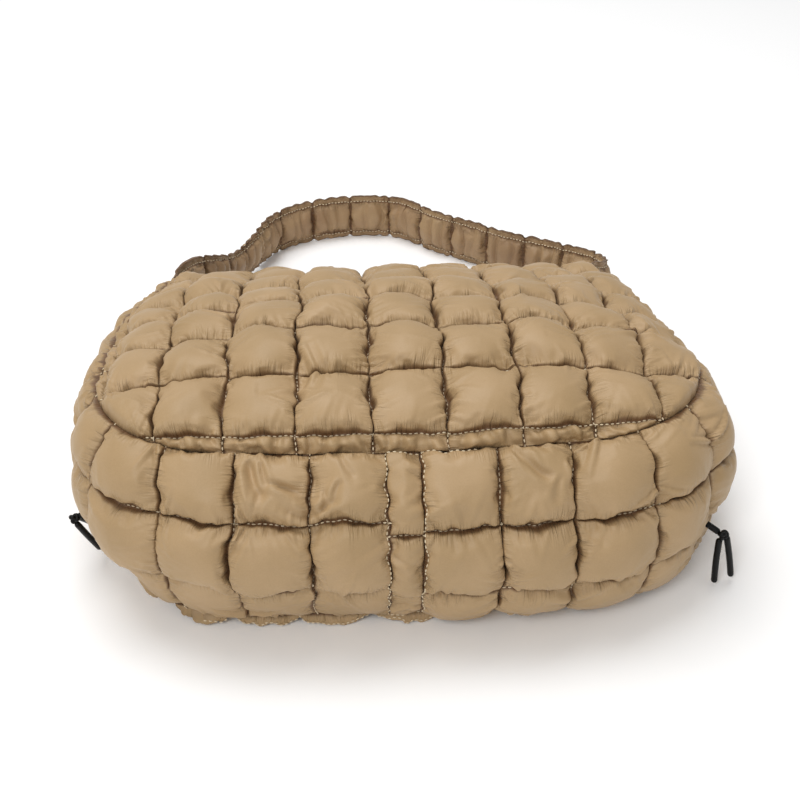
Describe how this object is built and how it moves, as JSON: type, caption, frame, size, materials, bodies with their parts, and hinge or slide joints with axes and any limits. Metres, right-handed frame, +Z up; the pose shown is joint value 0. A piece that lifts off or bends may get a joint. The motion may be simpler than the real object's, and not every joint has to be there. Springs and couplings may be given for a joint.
{
  "type": "puffer tote bag",
  "caption": "Soft quilted tote bag with padded square puffs all over, a gusset round its base and sides, one padded shoulder strap and short cord pulls at the base corners.",
  "frame": {"origin": "on the floor, in the middle of the flat underside of the back panel puff below the bag's middle", "axes": "+X across the bag to the right, +Y from the rounded base to the mouth and strap, +Z up from the back panel to the front panel"},
  "size_m": [0.5386, 0.7193, 0.1903],
  "materials": {
    "shell": "satin tan nylon over soft wadding",
    "strap": "satin tan nylon over soft wadding",
    "cord": "smooth black cord"
  },
  "bodies": {
    "root": {"front_panel": "shell", "back_panel": "shell", "gusset_left": "shell", "gusset_right": "shell", "base_band": "shell", "strap": "strap", "pull_knot_left": "cord", "pull_loop_left": "cord", "pull_tail_a_left": "cord", "pull_tail_b_left": "cord", "pull_knot_right": "cord", "pull_loop_right": "cord", "pull_tail_a_right": "cord", "pull_tail_b_right": "cord"}
  },
  "joints": []
}
